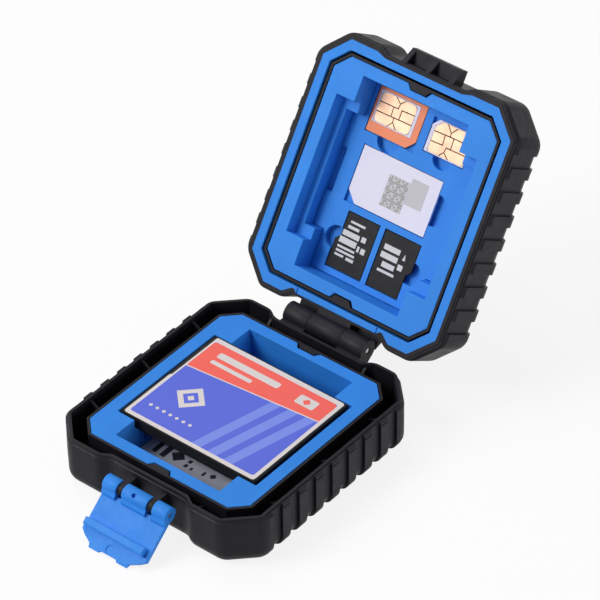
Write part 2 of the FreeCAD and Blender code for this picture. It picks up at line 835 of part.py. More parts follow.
def latch_lever():
    """Blue lever drawn closed: plate, hook, finger tip and three knuckles around its pivot."""
    body = new_body("latch_lever")
    left = -d.lever_half_width
    width = d.lever_half_width * 2
    plate = [
        (-d.lever_outer, d.lever_start),
        (-d.lever_inner, d.lever_start),
        (-d.lever_inner, d.hook_up),
        (d.hook_in, d.hook_up),
        (d.hook_in, d.hook_up + d.hook_top),
        (d.hook_in - d.hook_slope, d.hook_end_up),
        (d.head_in, d.hook_end_up),
        (d.tip_in, d.tip_up),
        (-d.tip_out, d.tip_up),
        (-d.lever_outer, d.hook_up + d.bend_rise),
    ]
    profile = draw(body, "lever_side", "YZ_Plane", left, [plate])
    pad(body, "lever_plate", profile, width)
    web = [
        (-d.lever_outer, ZERO),
        (d.knuckle_rise, ZERO),
        (d.knuckle_rise, d.knuckle_step),
        (d.knuckle_step, d.knuckle_toe - d.knuckle_step),
        (-d.lever_inner, d.knuckle_toe),
        (-d.lever_outer, d.knuckle_toe),
    ]
    knuckle(body, "latch_knuckle", left, width, ZERO, ZERO, d.knuckle_radius, web,
            d.latch_pin_radius + d.pin_run)

    slot = d.lug_wall + d.lug_play * 2
    relief = [
        (-d.lever_inner, -d.slot_radius),
        (d.slot_radius, -d.slot_radius),
        (d.slot_radius, d.knuckle_toe),
        (-d.lever_inner, d.knuckle_toe),
    ]
    right_end = d.lug_inner + d.lug_wall + d.lug_play
    left_end = d.lug_play - d.lug_inner
    ring = (ZERO, ZERO, d.slot_radius)
    for tag, right in (("right", right_end), ("left", left_end)):
        profile = draw(body, "slot_round_side_" + tag, "YZ_Plane", right, circles=[ring])
        pocket(body, "slot_round_" + tag, profile, slot)
        profile = draw(body, "slot_relief_side_" + tag, "YZ_Plane", right, [relief])
        pocket(body, "slot_relief_" + tag, profile, slot)

    shoulder = [
        (d.lever_half_width, d.hook_up + d.shoulder_rise),
        (d.lever_half_width, d.tip_up),
        (d.prong_outer, d.tip_up),
        (d.prong_root_side, d.hook_up + d.prong_root_rise),
        (d.cheek_side, d.hook_up + d.cheek_rise),
    ]
    low = d.tip_up - d.tip_notch_depth
    notch = [
        (-d.prong_inner, d.tip_up),
        (-d.tip_notch_half, low),
        (d.tip_notch_half, low),
        (d.prong_inner, d.tip_up),
    ]
    loops = [shoulder, [(-x, z) for x, z in shoulder], notch]
    profile = draw(body, "tip_front", "XZ_Plane", d.lever_outer, loops)
    pocket(body, "tip_edge", profile, d.lever_outer + d.hook_in)
    loops = []
    for hook_side, plate_side in (
        (d.hook_across + d.hook_half_width, d.lever_half_width),
        (d.hook_across - d.hook_half_width, -d.lever_half_width),
    ):
        loops.append([
            (hook_side, d.hook_up),
            (plate_side, d.hook_up),
            (plate_side, d.hook_end_up),
            (hook_side, d.hook_end_up),
        ])
    profile = draw(body, "hook_front", "XZ_Plane", d.lever_inner, loops)
    pocket(body, "hook_ends", profile, d.lever_inner + d.hook_in)

    spot = [(d.knuckle_hole_side, ZERO, d.knuckle_hole_radius)]
    profile = draw(body, "knuckle_hole_front", "XZ_Plane", -d.knuckle_radius, circles=spot)
    pocket(body, "knuckle_hole", profile, d.knuckle_hole_depth, True)
    spot = [(ZERO, d.hook_up + d.tip_mark_rise, d.tip_mark_radius)]
    profile = draw(body, "tip_mark_front", "XZ_Plane", -d.head_in, circles=spot)
    pocket(body, "tip_mark", profile, d.tip_mark_depth + d.tip_in / 2, True)
    return body


def pin(name, radius, half, x, y, z):
    """A round metal pin along the hinge line."""
    item = doc.addObject("Part::Cylinder", name)
    item.Label = name
    item.setExpression("Radius", radius.text)
    item.setExpression("Height", (half * 2).text)
    item.Placement = FreeCAD.Placement(
        FreeCAD.Vector((x - half).value, y.value, z.value),
        FreeCAD.Rotation(FreeCAD.Vector(0, 1, 0), 90),
    )
    item.setExpression("Placement.Base.x", (x - half).text)
    item.setExpression("Placement.Base.y", y.text)
    item.setExpression("Placement.Base.z", z.text)
    nodes.append(item)
    return item


def slab(name, corners, low, height):
    """A flat piece of even thickness."""
    body = new_body(name)
    profile = draw(body, name + "_plan", "XY_Plane", low, [corners])
    pad(body, name + "_slab", profile, height)
    return body


def sink(body, name, corners, top, depth):
    """A flat-bottomed recess."""
    profile = draw(body, name + "_plan", "XY_Plane", top, [corners])
    return pocket(body, name, profile, depth)


def large_card(floor):
    """Large card: frame with side rails, two cover plates, board and socket strip."""
    half_width = d.large_width / 2
    half_length = d.large_length / 2
    top = floor + d.large_height
    body = slab("large_card_frame", box_loop(ZERO, ZERO, half_width, half_length), floor, d.large_height)
    cover = (half_width - d.large_border, half_length - d.large_border)
    cavity = (half_width - d.large_wall, half_length - d.large_wall)
    sink(body, "large_top_recess", box_loop(ZERO, ZERO, *cover), top, d.plate_height)
    sink(body, "large_cavity", box_loop(ZERO, ZERO, *cavity), top, d.large_height)
    sink(body, "large_low_recess", box_loop(ZERO, ZERO, *cover), floor + d.plate_height, d.plate_height)
    middle = floor + d.large_height / 2
    loops = [box_loop(x, middle, d.rail_depth, d.rail_height / 2) for x in (half_width, -half_width)]
    profile = draw(body, "large_rail_end", "XZ_Plane", half_length, loops)
    pocket(body, "large_rails", profile, d.large_length)
    mouth = box_loop(ZERO, middle, d.connector_half_width, d.connector_height / 2)
    profile = draw(body, "large_mouth_end", "XZ_Plane", -cavity[1], [mouth])
    pocket(body, "large_mouth", profile, d.large_wall)

    plate = (cover[0] - d.plate_play, cover[1] - d.plate_play)
    slab("large_card_top_plate", box_loop(ZERO, ZERO, *plate), top - d.plate_height, d.plate_height)
    slab("large_card_bottom_plate", box_loop(ZERO, ZERO, *plate), floor, d.plate_height)
    board = (cavity[0] - d.board_play, cavity[1] - d.board_play)
    slab("large_card_board", box_loop(ZERO, ZERO, *board), floor + d.plate_height, d.board_height)

    strip = new_body("large_card_connector")
    half = d.connector_half_width - d.plate_play
    block = box_loop(ZERO, middle, half, d.connector_height / 2 - d.plate_play)
    profile = draw(strip, "connector_end", "XZ_Plane", -half_length, [block])
    pad(strip, "connector_block", profile, d.large_wall)
    first = d.socket_pitch * ((1 - d.socket_count.value) / 2)
    half = d.socket_size / 2
    loops = [box_loop(first, middle + z, half, half) for z in (-d.socket_row, d.socket_row)]
    profile = draw(strip, "socket_end", "XZ_Plane", -half_length, loops)
    sockets = pocket(strip, "socket_pair", profile, d.socket_depth, True)
    span = d.socket_pitch * (d.socket_count.value - 1)
    repeat(strip, "sockets", sockets, profile, "H_Axis", span, d.socket_count)


def medium_card(floor):
    """Medium card: notched body and its small sliding lock."""
    half_width = d.medium_length / 2
    low = d.medium_gap - d.deep_half_length
    high = low + d.medium_width
    corners = [
        (-half_width, low),
        (half_width, low),
        (half_width, high),
        (d.medium_cut - half_width, high),
        (-half_width, high - d.medium_cut),
    ]
    body = slab("medium_card_body", corners, floor, d.medium_height)
    start = floor + d.lock_low
    slot = [
        (d.lock_from, start),
        (d.lock_from + d.lock_slot, start),
        (d.lock_from + d.lock_slot, start + d.lock_height),
        (d.lock_from, start + d.lock_height),
    ]
    profile = draw(body, "lock_slot_end", "XZ_Plane", -high, [slot])
    pocket(body, "lock_slot", profile, d.lock_depth, True)
    left = d.lock_from + d.lock_play
    right = left + d.lock_length
    back = high - d.lock_play
    front = high - d.lock_depth + d.lock_play
    corners = [(left, front), (right, front), (right, back), (left, back)]
    slab("medium_card_lock", corners, start, d.lock_height - d.lock_play)


def flash_outline(x, y, turn, play):
    """Outline of a micro memory card with its stepped side, turned half round for -1."""
    half_width = d.flash_width / 2 + play
    half_length = d.flash_length / 2 + play
    step = half_length - d.flash_neck
    corners = [
        (-half_width, -half_length),
        (half_width, -half_length),
        (half_width, half_length),
        (d.flash_step - half_width, half_length),
        (d.flash_step - half_width, step),
        (-half_width, step - d.flash_slope),
    ]
    return [(x + across * turn, y + up * turn) for across, up in corners]


def cut_corner(x, y, half_width, half_length, cut, across, up):
    """A rectangle with one corner cut off; across and up pick the corner by sign."""
    corners = [
        (half_width * -across, half_length * -up),
        (half_width * across, half_length * -up),
        (half_width * across, (half_length - cut) * up),
        ((half_width - cut) * across, half_length * up),
        (half_width * -across, half_length * up),
    ]
    return [(x + px, y + py) for px, py in corners]


def small_cards(top):
    """The plug-in plate of the lid with its five small cards."""
    plate = new_body("card_insert")
    wing_low = top - d.insert_wing
    wing = (d.middle_half_width - d.insert_play, d.middle_half_length - d.insert_play)
    core = (d.insert_half_width, d.insert_half_length)
    deep = d.lid_tray_height - d.tray_floor
    core_low = d.lid_floor + d.lid_tray_height - deep + d.insert_foot
    profile = draw(plate, "insert_core_plan", "XY_Plane", core_low, [box_loop(ZERO, ZERO, *core)])
    pad(plate, "insert_core", profile, top - core_low)
    profile = draw(plate, "insert_wing_plan", "XY_Plane", wing_low, [box_loop(ZERO, ZERO, *wing)])
    pad(plate, "insert_wings", profile, d.insert_wing)
    notch = box_loop(-wing[0], ZERO, d.insert_notch_depth, d.insert_notch_half)
    sink(plate, "insert_notch", notch, top, d.insert_wing)

    play = d.pocket_play
    half = (d.standard_width / 2, d.standard_length / 2)
    place = (d.standard_across, d.standard_up)
    sim_depth = d.sim_height + d.sim_sink
    low = top - sim_depth
    spots = [
        ("standard_sim", place, half, d.standard_cut, -1, -1, d.standard_finger, 1, 0),
        ("micro_sim", (d.micro_across, d.micro_up), (d.micro_width / 2, d.micro_length / 2),
         d.micro_cut, 1, -1, d.micro_finger, 0, -1),
        ("nano_sim", (d.nano_across, d.micro_up), (d.nano_width / 2, d.nano_length / 2),
         d.nano_cut, -1, 1, d.nano_finger, 0, -1),
    ]
    cards = {}
    for name, (x, y), (wide, far), cut, across, up, finger, finger_x, finger_y in spots:
        sink(plate, name + "_pocket", box_loop(x, y, wide + play, far + play), top, sim_depth)
        centre = (x + wide * finger_x, y + far * finger_y, finger)
        profile = draw(plate, name + "_finger_plan", "XY_Plane", top, circles=[centre])
        pocket(plate, name + "_finger", profile, d.finger_depth)
        outline = cut_corner(x, y, wide, far, cut, across, up)
        cards[name] = slab(name + "_card", outline, low, d.sim_height)
    for tag, turn in (("left", 1), ("right", -1)):
        name = "micro_memory_card_" + tag
        x = d.flash_across - d.flash_spread * turn
        y = -d.flash_up
        depth = d.flash_height + d.sim_sink
        sink(plate, name + "_pocket", flash_outline(x, y, turn, play), top, depth)
        centre = (x - d.flash_width / 2 * turn, y, d.flash_finger)
        profile = draw(plate, name + "_finger_plan", "XY_Plane", top, circles=[centre])
        pocket(plate, name + "_finger", profile, d.finger_depth)
        slab(name, flash_outline(x, y, turn, ZERO), top - depth, d.flash_height)
    contacts(cards, top - d.sim_sink, low)


def contacts(cards, face, low):
    """Chip plates set into the three phone cards."""
    play = d.chip_play
    x = d.standard_across + d.standard_chip_across
    y = d.standard_up
    half = (d.standard_chip_width / 2, d.standard_chip_length / 2)
    recess = box_loop(x, y, half[0] + play, half[1] + play)
    sink(cards["standard_sim"], "standard_chip_recess", recess, low + d.chip_height, d.chip_height)
    slab("standard_sim_contacts", box_loop(x, y, *half), low, d.chip_height)

    x = d.micro_across + d.module_across
    y = d.micro_up + d.module_up
    half = (d.module_width / 2, d.module_length / 2)
    recess = box_loop(x, y, half[0] + play, half[1] + play)
    sink(cards["micro_sim"], "module_recess", recess, face, d.module_sink)
    module = slab("micro_sim_module", box_loop(x, y, *half), face - d.module_sink, d.module_sink)
    x = x + d.micro_chip_across
    half = (d.micro_chip_width / 2, d.micro_chip_length / 2)
    recess = box_loop(x, y, half[0] + play, half[1] + play)
    sink(module, "micro_chip_recess", recess, face, d.chip_height)
    slab("micro_sim_contacts", box_loop(x, y, *half), face - d.chip_height, d.chip_height)

    x = d.nano_across + d.nano_chip_across
    half = (d.nano_chip_width / 2, d.nano_chip_length / 2)
    cut = d.nano_cut
    recess = cut_corner(x, d.micro_up, half[0] + play, half[1] + play, cut, -1, 1)
    sink(cards["nano_sim"], "nano_chip_recess", recess, face, d.chip_height)
    outline = cut_corner(x, d.micro_up, half[0], half[1], cut, -1, 1)
    slab("nano_sim_contacts", outline, face - d.chip_height, d.chip_height)


# Lower half with its tray, pins and cards
base_shell()
tray("base_tray", d.base_floor, d.base_tray_height, d.base_deep_half_width)
hinge_half = d.barrel_half - d.hinge_pin_inset
pin("hinge_pin", d.hinge_pin_radius, hinge_half, ZERO, d.hinge_back, d.base_height)
latch_half = d.lever_half_width - d.latch_pin_inset
latch_height = d.base_height - d.latch_drop
pin("latch_pin", d.latch_pin_radius, latch_half, d.latch_across, -d.latch_front, latch_height)
medium_card(d.base_floor + d.tray_floor)

# Large card, pushed towards one corner of its pocket
count = len(nodes)
large_card(d.base_floor + d.base_tray_height - d.upper_depth)
for item in nodes[count:]:
    item.setExpression("Placement.Base.x", d.large_across.text)
    item.setExpression("Placement.Base.y", d.large_up.text)

# Latch swung open about its pivot
lever = latch_lever()
pivot = FreeCAD.Vector(d.latch_across.value, -d.latch_front.value, latch_height.value)
swing = FreeCAD.Rotation(FreeCAD.Vector(1, 0, 0), d.latch_open_angle.value)
lever.Placement = FreeCAD.Placement(pivot, swing)

# Upper half, drawn opening upwards, then turned about the hinge
count = len(nodes)
lid_shell()
lid_seal()
lid_tray = tray("lid_tray", d.lid_floor, d.lid_tray_height, d.lid_deep_half_width)
core_out(lid_tray, d.lid_floor, d.lid_tray_height)
small_cards(d.lid_floor + d.lid_tray_height - d.middle_depth + d.insert_wing)
hinge = FreeCAD.Vector(0, d.hinge_back.value, d.base_height.value)
drawn_hinge = FreeCAD.Vector(0, -d.hinge_back.value, d.lid_height.value + d.lid_gap.value)
lean = FreeCAD.Rotation(FreeCAD.Vector(1, 0, 0), 180 - d.lid_open_angle.value)
lid_pose = FreeCAD.Placement(hinge - lean.multVec(drawn_hinge), lean)
for item in nodes[count:]:
    item.Placement = lid_pose

doc.recompute()
for item in doc.Objects:
    state = " ".join(item.State)
    if "Invalid" in state or "Error" in state:
        raise RuntimeError("%s is in state %s" % (item.Label, state))

os.makedirs(PARTS, exist_ok=True)
for item in nodes:
    shape = item.Shape
    if shape.isNull() or not shape.isValid() or len(shape.Solids) != 1:
        raise RuntimeError("%s has no single valid solid" % item.Label)
    shape.exportStep("%s/%s.step" % (PARTS, item.Label))
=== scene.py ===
import math

import bpy
from mathutils import Matrix, Vector
from mathutils.geometry import delaunay_2d_cdt


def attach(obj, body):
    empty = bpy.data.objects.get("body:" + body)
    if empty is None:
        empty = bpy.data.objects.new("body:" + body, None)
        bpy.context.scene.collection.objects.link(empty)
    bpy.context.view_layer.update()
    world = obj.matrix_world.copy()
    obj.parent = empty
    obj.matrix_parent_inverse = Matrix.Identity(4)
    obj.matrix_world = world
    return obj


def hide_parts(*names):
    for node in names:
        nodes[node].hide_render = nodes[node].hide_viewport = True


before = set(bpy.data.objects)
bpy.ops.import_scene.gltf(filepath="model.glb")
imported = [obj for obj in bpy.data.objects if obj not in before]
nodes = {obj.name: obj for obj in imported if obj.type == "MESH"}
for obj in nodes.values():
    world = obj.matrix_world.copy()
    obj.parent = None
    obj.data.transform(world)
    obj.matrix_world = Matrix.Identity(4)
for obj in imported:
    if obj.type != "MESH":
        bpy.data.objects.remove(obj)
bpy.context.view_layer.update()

MM = 0.001

# The lid is drawn lying on its back and then leans about the hinge
LID_LEAN = math.radians(56.5)
HINGE = Vector((0, 36.8, 14.6)) * MM
DRAWN_HINGE = Vector((0, -36.8, 14.3)) * MM
LEAN = Matrix.Rotation(LID_LEAN, 4, "X")
LID_POSE = Matrix.Translation(HINGE) @ LEAN @ Matrix.Translation(-DRAWN_HINGE)
BASE_POSE = Matrix.Identity(4)


class Tree:
    """A material's node tree with short calls for adding and joining nodes."""

    def __init__(self, name):
        self.material = bpy.data.materials.new(name)
        self.material.use_nodes = True
        self.tree = self.material.node_tree
        self.shader = self.tree.nodes["Principled BSDF"]
        self.place = self.add("ShaderNodeTexCoord").outputs["Object"]

    def add(self, kind, settings=(), **inputs):
        node = self.tree.nodes.new(kind)
        for key, value in dict(settings).items():
            setattr(node, key, value)
        for key, value in inputs.items():
            self.feed(node.inputs[key.replace("_", " ")], value)
        return node

    def feed(self, socket, value):
        if isinstance(value, bpy.types.NodeSocket):
            self.tree.links.new(value, socket)
        else:
            socket.default_value = value

    def set(self, **inputs):
        for key, value in inputs.items():
            self.feed(self.shader.inputs[key.replace("_", " ")], value)

    def noise(self, cell, detail=2.0, stretch=None):
        """Noise whose cells are about this many millimetres wide."""
        place = self.place
        if stretch:
            place = self.add("ShaderNodeMapping", Vector=place, Scale=stretch).outputs[0]
        node = self.add("ShaderNodeTexNoise", Vector=place, Scale=1 / (cell * MM), Detail=detail)
        return node.outputs["Fac"]

    def blend(self, factor, first, second):
        node = self.add("ShaderNodeMix", {"data_type": "RGBA"})
        self.feed(node.inputs[0], factor)
        self.feed(node.inputs[6], first)
        self.feed(node.inputs[7], second)
        return node.outputs[2]

    def span(self, value, low, high, start=0.0, end=1.0):
        node = self.add("ShaderNodeMapRange", Value=value)
        node.inputs["From Min"].default_value = low
        node.inputs["From Max"].default_value = high
        node.inputs["To Min"].default_value = start
        node.inputs["To Max"].default_value = end
        return node.outputs[0]

    def bump(self, height, depth):
        return self.add("ShaderNodeBump", Height=height, Distance=depth * MM).outputs[0]


def tint(*steps):
    """Linear colour of a screen colour given in steps of 255."""
    return [((step / 255 + 0.055) / 1.055) ** 2.4 for step in steps]


def shade(colour, factor):
    return [min(1.0, part * factor) for part in colour] + [1.0]


# Widths of the clouds, mottle and drawn lines in the materials, and bump depths, in millimetres
PLASTIC_CLOUD = 9.0
PLASTIC_GLOSS = 2.2
INK_CLOUD = 5.0
INK_MOTTLE = 0.28
INK_BUMP = 0.005
METAL_CLOUD = 3.0
METAL_LINES = 0.1
METAL_BUMP = 0.003
# The range that holds most of a noise's values
NOISE_RANGE = (0.3, 0.7)


def moulded(name, colour, rough, grain, depth, spread, specular):
    """Moulded plastic: eroded grain, soft cloudy gloss and slight tone drift."""
    tree = Tree(name)
    cloud = tree.noise(PLASTIC_CLOUD, 3.0)
    speck = tree.noise(grain, 3.0)
    drift = tree.span(cloud, *NOISE_RANGE)
    tone = tree.blend(drift, shade(colour, 1 - spread), shade(colour, 1 + spread))
    tone = tree.blend(tree.span(speck, 0.35, 0.75, 0.0, 0.5), tone, shade(colour, 1 - 2 * spread))
    patches = tree.noise(PLASTIC_GLOSS, 4.0)
    gloss = tree.span(patches, *NOISE_RANGE, rough - 0.06, rough + 0.06)
    tree.set(Base_Color=tone, Roughness=gloss, Specular_IOR_Level=specular)
    tree.set(Normal=tree.bump(speck, depth))
    return tree.material


def printed(name, colour, rough=0.42, spread=0.05):
    """Printed or coated card stock: even ink with a faint fine mottle."""
    tree = Tree(name)
    mottle = tree.noise(INK_MOTTLE, 3.0)
    cloud = tree.noise(INK_CLOUD, 2.0)
    drift = tree.span(mottle, *NOISE_RANGE)
    tone = tree.blend(drift, shade(colour, 1 - spread), shade(colour, 1 + spread))
    tone = tree.blend(tree.span(cloud, 0.35, 0.7, 0.0, 0.4), tone, shade(colour, 1 - spread))
    tree.set(Base_Color=tone, Specular_IOR_Level=0.3)
    tree.set(Roughness=tree.span(cloud, *NOISE_RANGE, rough - 0.05, rough + 0.08))
    tree.set(Normal=tree.bump(mottle, INK_BUMP))
    return tree.material


def metal(name, colour, rough, stretch):
    """Drawn or plated metal with fine lines along one way."""
    tree = Tree(name)
    lines = tree.noise(METAL_LINES, 3.0, stretch)
    cloud = tree.noise(METAL_CLOUD, 2.0)
    tone = tree.blend(tree.span(lines, *NOISE_RANGE), shade(colour, 0.9), shade(colour, 1.04))
    tree.set(Base_Color=tone, Metallic=1.0)
    tree.set(Roughness=tree.span(cloud, *NOISE_RANGE, rough - 0.06, rough + 0.08))
    tree.set(Normal=tree.bump(lines, METAL_BUMP))
    return tree.material


# Plastics: colour, roughness, width and depth of the grain, drift of the tone, specular level
BLUE = (0.03, 0.235, 0.75)
shell_black = moulded("shell_black", (0.0115, 0.0102, 0.0138), 0.46, 0.2, 0.012, 0.15, 0.14)
tray_blue = moulded("tray_blue", BLUE, 0.5, 0.18, 0.008, 0.05, 0.2)
latch_blue = moulded("latch_blue", BLUE, 0.46, 0.3, 0.006, 0.05, 0.16)
seal_blue = moulded("seal_blue", BLUE, 0.55, 0.22, 0.008, 0.05, 0.2)
card_black = moulded("card_black", (0.0105, 0.0104, 0.0114), 0.5, 0.14, 0.006, 0.15, 0.17)
board_green = moulded("board_green", (0.02, 0.12, 0.05), 0.4, 0.2, 0.006, 0.1, 0.4)
lock_white = moulded("lock_white", (0.7, 0.7, 0.68), 0.4, 0.2, 0.004, 0.04, 0.4)
# Metals: colour, roughness, and how the drawn lines stretch along x, y and z
pin_steel = metal("pin_steel", (0.7, 0.7, 0.72), 0.3, (0.05, 1, 1))
card_steel = metal("card_steel", (0.6, 0.6, 0.62), 0.35, (1, 0.05, 1))
contact_gold = metal("contact_gold", tint(196, 159, 134), 0.45, (1, 0.1, 1))
# Card stock and inks: colour, roughness, drift of the tone
groove_brown = printed("groove_brown", tint(62, 52, 40), 0.5)
medium_grey = printed("medium_grey", tint(182, 184, 190), 0.5)
mark_dark = printed("mark_dark", tint(40, 42, 48), 0.5)
sim_white = printed("sim_white", tint(222, 220, 236), 0.38, 0.02)
sim_orange = printed("sim_orange", tint(240, 138, 96), 0.38, 0.04)
patch_grey = printed("patch_grey", tint(192, 190, 194), 0.45, 0.04)
dot_grey = printed("dot_grey", tint(146, 142, 140), 0.45, 0.06)
mark_pale = printed("mark_pale", tint(206, 206, 208), 0.45, 0.05)
label_white = printed("label_white", tint(222, 214, 212), 0.34, 0.04)
label_coral = printed("label_coral", tint(246, 102, 90), 0.34, 0.04)
label_violet = printed("label_violet", tint(88, 104, 216), 0.34, 0.05)
label_light = printed("label_light", tint(122, 142, 230), 0.34, 0.05)

LOOKS = {
    "base_shell": shell_black,
    "lid_shell": shell_black,
    "base_tray": tray_blue,
    "lid_tray": tray_blue,
    "card_insert": tray_blue,
    "latch_lever": latch_blue,
    "lid_seal": seal_blue,
    "hinge_pin": pin_steel,
    "latch_pin": pin_steel,
    "large_card_frame": card_black,
    "large_card_connector": card_black,
    "large_card_top_plate": label_white,
    "large_card_bottom_plate": card_steel,
    "large_card_board": board_green,
    "medium_card_body": medium_grey,
    "medium_card_lock": lock_white,
    "standard_sim_card": sim_white,
    "standard_sim_contacts": contact_gold,
    "micro_sim_card": sim_orange,
    "micro_sim_module": sim_white,
    "micro_sim_contacts": contact_gold,
    "nano_sim_card": sim_white,
    "nano_sim_contacts": contact_gold,
    "micro_memory_card_left": card_black,
    "micro_memory_card_right": card_black,
}

# Edge rounding of the moulded and cut pieces, in millimetres
EDGES = {
    "base_shell": 0.22,
    "lid_shell": 0.22,
    "base_tray": 0.22,
    "lid_tray": 0.22,
    "card_insert": 0.15,
    "latch_lever": 0.28,
    "lid_seal": 0.2,
    "large_card_frame": 0.15,
}
THIN_EDGE = 0.06
WELD_REACH = 0.002
SHARP_ANGLE = math.radians(28)


def soften(obj, width):
    """Join split corners, round the edges and even out the shading."""
    weld = obj.modifiers.new("weld", "WELD")
    weld.merge_threshold = WELD_REACH * MM
    bevel = obj.modifiers.new("edges", "BEVEL")
    bevel.width = width * MM
    bevel.segments = 2
    bevel.limit_method = "ANGLE"
    bevel.angle_limit = SHARP_ANGLE
    bevel.use_clamp_overlap = True
    bevel.harden_normals = True


for name, look in LOOKS.items():
    obj = nodes[name]
    obj.data.materials.clear()
    obj.data.materials.append(look)
    soften(obj, EDGES.get(name, THIN_EDGE))


class Shape:
    """Corners and faces of a new piece, gathered in the millimetres of one drawing frame."""

    def __init__(self, looks):
        self.looks = looks
        self.corners = []
        self.faces = []
        self.marks = []

    def corner(self, x, y, z):
        self.corners.append((x, y, z))
        return len(self.corners) - 1

    def face(self, ring, mark=0):
        self.faces.append(ring)
        self.marks.append(mark)

    def prism(self, loop, low, high, mark=0):
        """A closed upright prism over a convex loop that runs anticlockwise."""
        under = [self.corner(x, y, low) for x, y in loop]
        over = [self.corner(x, y, high) for x, y in loop]
        self.face(under[::-1], mark)
        self.face(over, mark)
        for step in range(len(loop)):
            following = (step + 1) % len(loop)
            self.face([under[step], under[following], over[following], over[step]], mark)

    def place(self, name, body, slot, pose):
        """Turn what was gathered into a piece that rides on a body."""
        mesh = bpy.data.meshes.new(name)
        mesh.from_pydata([pose @ (Vector(spot) * MM) for spot in self.corners], [], self.faces)
        for look in self.looks:
            mesh.materials.append(look)
        for face, mark in zip(mesh.polygons, self.marks):
            face.material_index = mark
        piece = bpy.data.objects.new(name, mesh)
        bpy.context.scene.collection.objects.link(piece)
        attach(piece, body)
        return piece


def local_span(name, pose):
    """Lowest and highest level of a node in the frame it was drawn in, in millimetres."""
    back = pose.inverted()
    levels = [(back @ spot.co).z / MM for spot in nodes[name].data.vertices]
    return min(levels), max(levels)


def box(x0, y0, x1, y1):
    return [(x0, y0), (x1, y0), (x1, y1), (x0, y1)]


def diamond(x, y, reach):
    return [(x, y - reach), (x + reach, y), (x, y + reach), (x - reach, y)]


def rounded(x0, y0, x1, y1, radius, steps=5):
    """A rectangle with round corners."""
    loop = []
    centres = (
        (x1 - radius, y0 + radius),
        (x1 - radius, y1 - radius),
        (x0 + radius, y1 - radius),
        (x0 + radius, y0 + radius),
    )
    for turn, (x, y) in enumerate(centres):
        for step in range(steps + 1):
            angle = math.radians(90 * (turn - 1 + step / steps))
            loop.append((x + radius * math.cos(angle), y + radius * math.sin(angle)))
    return loop


def strokes(lines, width):
    """Thin boxes along every stretch of some open lines."""
    loops = []
    for line in lines:
        for start, end in zip(line, line[1:]):
            along = (Vector(end) - Vector(start)).normalized() * width / 2
            aside = Vector((along.y, -along.x))
            head = Vector(end) + along
            tail = Vector(start) - along
            loops.append([tail + aside, head + aside, head - aside, tail - aside])
    return loops


# Spots of an inlay's drawing that are nearer than this, in millimetres, become one
SPOT_MERGE = 1e-4
FACES_INSIDE = 1


def inlay(name, body, slot, node, pose, outline, fields, looks):
    """A plate in place of a node, its upper face divided into coloured or sunken fields."""
    low, top = local_span(node, pose)
    spots = []
    rings = []
    for loop in [outline] + [field[0] for field in fields]:
        rings.append(list(range(len(spots), len(spots) + len(loop))))
        spots.extend(Vector(spot) for spot in loop)
    spots, _, faces, _, _, owners = delaunay_2d_cdt(spots, [], rings, FACES_INSIDE, SPOT_MERGE)
    kinds = [(0, 0.0)] + [field[1:] for field in fields]
    cells = [(face, kinds[max(own)]) for face, own in zip(faces, owners) if 0 in own]
    shape = Shape(looks)
    made = {}

    def spot(index, level):
        if (index, level) not in made:
            made[index, level] = shape.corner(spots[index].x, spots[index].y, level)
        return made[index, level]

    sides = {}
    for ring, (mark, rise) in cells:
        shape.face([spot(index, top + rise) for index in ring], mark)
        shape.face([spot(index, low) for index in reversed(ring)])
        for start, end in zip(ring, ring[1:] + ring[:1]):
            sides[start, end] = (mark, top + rise)
    for (start, end), (mark, level) in sides.items():
        beside = sides.get((end, start), (0, low))[1]
        if beside < level:
            wall = [spot(start, beside), spot(end, beside), spot(end, level), spot(start, level)]
            shape.face(wall, mark)
    piece = shape.place(name, body, slot, pose)
    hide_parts(node)


# Thickness of printed marks, and their depth into the card, in millimetres
PRINT_THICK = 0.02
DOT_THICK = 0.035
PRINT_BED = 0.01


def prints(name, body, slot, node, pose, layers):
    """Thin printed marks on a node's upper face, each layer a look, a thickness and its loops."""
    shape = Shape([layer[0] for layer in layers])
    low = local_span(node, pose)[1]
    for mark, (_, thick, loops) in enumerate(layers):
        for loop in loops:
            shape.prism(loop, low - PRINT_BED, low + thick, mark)
    shape.place(name, body, slot, pose)


def large_label():
    """A made-up label in flat colours: a coral head, a violet field and plain shapes."""
    looks = [card_black, label_white, label_violet, label_light, label_coral]
    black, white, violet, light, coral = range(len(looks))
    left, right, front, back, corner = -20.3, 19.1, -16.2, 16.8, 0.7
    edge = ((left, 5.4), (right, 9.0))
    fields = [(rounded(-21.25, -17.45, 20.2, 18.25, 0.8, 4), white)]
    fields.append(([(-21.65, -0.4), (-20.85, 0.6), (-20.85, 18.3), (-21.65, 18.3)], black))
    fields.append((rounded(left, front, right, back, corner), violet))
    for x in (-0.4, 4.6, 9.6):
        fields.append(([(x, front), (x + 2.8, front), (x + 9.0, 9.5), (x + 6.2, 9.5)], light))
    head = [
        edge[0],
        edge[1],
        (right, back - corner),
        (right - corner, back),
        (left + corner, back),
        (left, back - corner),
    ]
    fields.append((head, coral))
    fields.extend((loop, white) for loop in strokes([edge], 0.35))
    fields.append((rounded(-16.4, 12.3, 3.2, 14.4, 0.5, 3), white))
    fields.append((rounded(-16.4, 9.7, -3.4, 11.0, 0.4, 3), white))
    fields.append((rounded(9.4, 11.2, 15.2, 14.6, 0.5, 3), white))
    fields.append((diamond(12.3, 12.9, 1.2), coral))
    for reach, mark in ((4.6, white), (2.6, violet), (1.1, white)):
        fields.append((diamond(-11.2, -3.6, reach), mark))
    fields.extend((diamond(-17.4 + 2.1 * step, -11.6, 0.6), white) for step in range(7))
    plate = rounded(-21.65, -17.6, 20.65, 18.3, 0.8, 4)
    fields = [(loop, mark, 0.0) for loop, mark in fields]
    node = "large_card_top_plate"
    inlay("large_card_label", "large_card", "card_label", node, BASE_POSE, plate, fields, looks)


